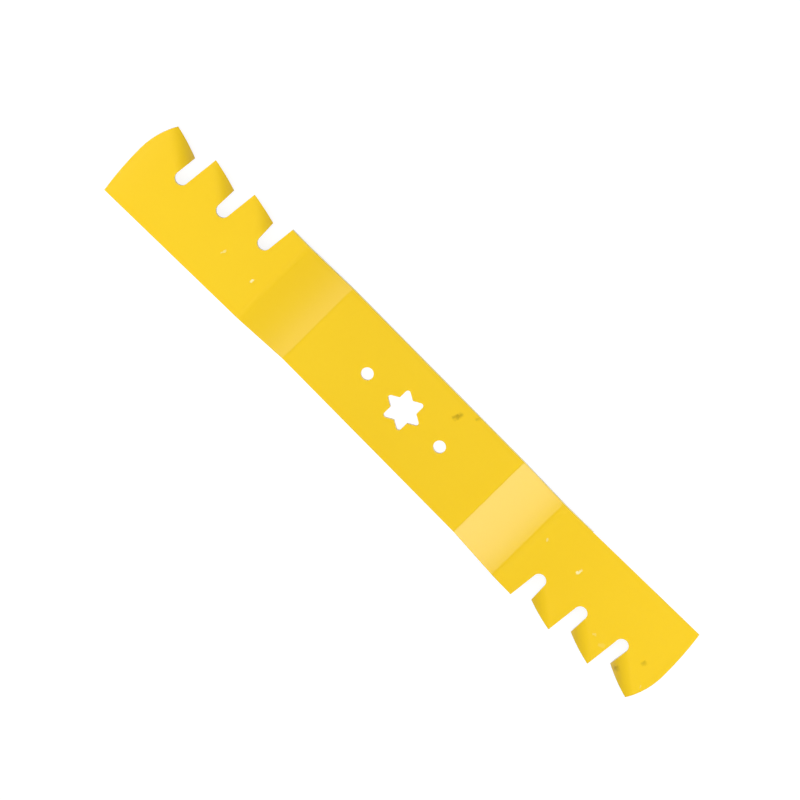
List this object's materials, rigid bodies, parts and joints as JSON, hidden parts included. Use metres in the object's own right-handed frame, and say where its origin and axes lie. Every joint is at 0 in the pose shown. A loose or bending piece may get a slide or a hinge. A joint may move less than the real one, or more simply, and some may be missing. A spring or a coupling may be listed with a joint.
{
  "type": "rotary mower blade",
  "caption": "Offset rotary mower blade of bent steel plate, with curled mulching teeth behind each cutting edge and a star-shaped drive hole.",
  "frame": {"origin": "middle of the star hole, on the deck-side face that seats against the spindle", "axes": "+X along the blade, +Z out of the ground-facing side that the picture shows; the blade lies with that side up"},
  "size_m": [0.4704, 0.0708, 0.017],
  "materials": {
    "paint": "semi-gloss yellow powder coat with small chips and scuffs"
  },
  "bodies": {
    "root": {"blade": "paint"}
  },
  "joints": []
}
